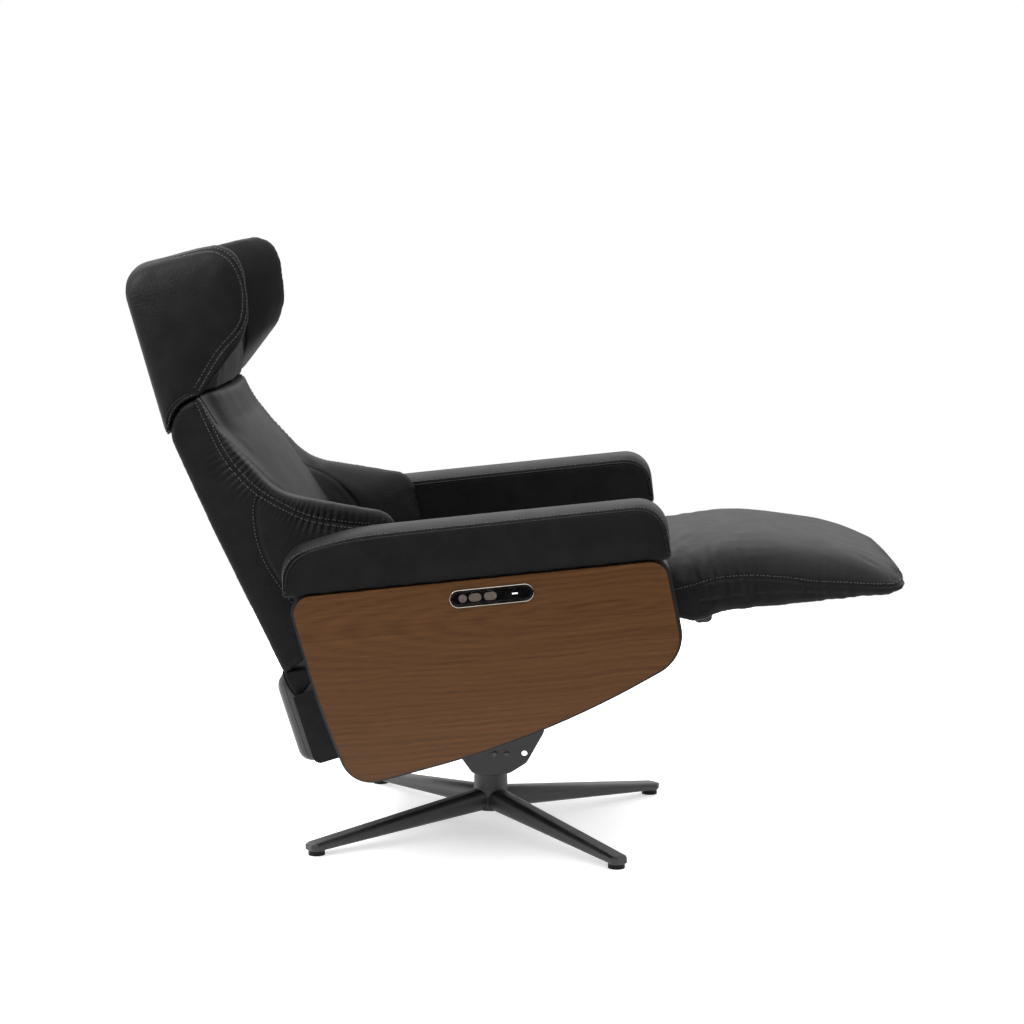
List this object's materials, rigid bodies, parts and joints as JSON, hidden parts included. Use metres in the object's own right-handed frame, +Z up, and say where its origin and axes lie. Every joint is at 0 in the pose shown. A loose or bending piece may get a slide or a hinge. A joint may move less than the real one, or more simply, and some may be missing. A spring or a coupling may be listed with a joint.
{
  "type": "power recliner",
  "caption": "Leather power recliner with a winged headrest, walnut side panels, a raised footrest, a rear battery pack and a swivel star base.",
  "frame": {"origin": "on the floor, under the swivel axis", "axes": "+X forward from the back to the footrest, +Y to the sitter's left, +Z up"},
  "size_m": [1.2555, 0.7985, 1.0058],
  "materials": {
    "black_leather": "soft pebbled grain",
    "walnut_veneer": "satin lacquer",
    "black_arm_core": "satin black paint",
    "plywood": "sanded",
    "black_steel": "satin powder coat",
    "zinc_steel": "bright zinc",
    "webbing": "woven",
    "chrome_trim": "polished",
    "black_gloss": "gloss",
    "taupe_button": "matt",
    "white_lens": "clear moulded",
    "circuit_board": "lacquered",
    "battery_plastic": "fine moulded texture",
    "cell_wrap": "shrink wrap",
    "black_plastic": "moulded",
    "bearing_plastic": "turned"
  },
  "bodies": {
    "base": {"star_base": "black_steel", "foot_glides": "black_plastic", "hub_bush": "bearing_plastic", "hub_cap": "black_plastic"},
    "swivel": {"swivel_post": "zinc_steel", "thrust_washer": "bearing_plastic", "tilt_bracket": "black_steel", "bracket_bolts": "zinc_steel", "tilt_pin": "zinc_steel"},
    "seat": {"seat_side_rails": "plywood", "seat_cross_rails": "black_steel", "seat_webbing": "webbing", "seat_cushion": "black_leather", "left_arm_core": "black_arm_core", "right_arm_core": "black_arm_core", "left_side_panel": "walnut_veneer", "right_side_panel": "walnut_veneer", "left_arm_pad": "black_leather", "right_arm_pad": "black_leather", "panel_bolts": "zinc_steel", "control_bezel": "chrome_trim", "control_fascia": "black_gloss", "indicator_lens": "white_lens", "control_board": "circuit_board", "back_drive_tube": "black_steel", "back_drive_motor": "black_steel", "foot_drive_tube": "black_steel", "foot_drive_motor": "black_steel", "hinge_brackets": "black_steel", "hinge_pins": "zinc_steel", "battery_front_case": "battery_plastic", "battery_rear_case": "battery_plastic", "battery_cells": "cell_wrap", "charge_socket": "battery_plastic", "rear_apron": "black_plastic"},
    "backrest": {"back_board": "plywood", "recline_leaves": "black_steel", "back_lever": "black_steel", "back_cover": "black_leather", "back_cushion": "black_leather", "left_bolster": "black_leather", "right_bolster": "black_leather", "neck_brackets": "black_steel", "neck_pins": "zinc_steel"},
    "headrest": {"head_cover": "black_leather", "head_plate": "plywood", "head_leaves": "black_steel", "head_cushion": "black_leather", "left_head_wing": "black_leather", "right_head_wing": "black_leather"},
    "footrest": {"footrest_board": "plywood", "footrest_leaves": "black_steel", "footrest_lug": "black_steel", "footrest_cushion": "black_leather"},
    "back_rod": {"back_rod": "zinc_steel"},
    "foot_rod": {"foot_rod": "zinc_steel"},
    "home_button": {"home_button": "taupe_button"},
    "back_button": {"back_button": "taupe_button"},
    "foot_button": {"foot_button": "taupe_button"},
    "battery_button": {"battery_button": "battery_plastic"}
  },
  "joints": [
    {"name": "swivel", "type": "hinge", "parent": "base", "child": "swivel", "pos_m": [0, 0, 0], "axis": [0, 0, 1], "continuous": true},
    {"name": "tilt", "type": "hinge", "parent": "swivel", "child": "seat", "pos_m": [0.015, 0, 0.221], "axis": [0, -1, 0], "range_deg": [-6, 6]},
    {"name": "recline", "type": "hinge", "parent": "seat", "child": "backrest", "pos_m": [-0.27033, 0, 0.32404], "axis": [0, -1, 0], "range_deg": [-14, 25]},
    {"name": "headrest", "type": "hinge", "parent": "backrest", "child": "headrest", "pos_m": [-0.44755, 0, 0.71037], "axis": [0, 1, 0], "range_deg": [-12, 35]},
    {"name": "footrest", "type": "hinge", "parent": "seat", "child": "footrest", "pos_m": [0.26942, 0, 0.48574], "axis": [0, -1, 0], "range_deg": [-82, 0]},
    {"name": "back_rod_slide", "type": "slide", "parent": "seat", "child": "back_rod", "axis": [0.9945, 0, 0.1045], "range_m": [-0.0186, 0.0332]},
    {"name": "foot_rod_slide", "type": "slide", "parent": "seat", "child": "foot_rod", "axis": [0.9945, 0, 0.1045], "range_m": [-0.1654, 0.0005]},
    {"name": "home_press", "type": "slide", "parent": "seat", "child": "home_button", "axis": [0, 1, 0], "range_m": [0, 0.0012], "stiffness_N_per_m": 900},
    {"name": "back_press", "type": "slide", "parent": "seat", "child": "back_button", "axis": [0, 1, 0], "range_m": [0, 0.0012], "stiffness_N_per_m": 900},
    {"name": "foot_press", "type": "slide", "parent": "seat", "child": "foot_button", "axis": [0, 1, 0], "range_m": [0, 0.0012], "stiffness_N_per_m": 900},
    {"name": "battery_press", "type": "slide", "parent": "seat", "child": "battery_button", "axis": [0.9542, 0, 0.299], "range_m": [0, 0.0012], "stiffness_N_per_m": 900}
  ],
  "couplings": [
    {"joint": "back_rod_slide", "follows": "recline", "m_per_rad": 0.0758},
    {"joint": "foot_rod_slide", "follows": "footrest", "m_per_rad": 0.1155}
  ]
}
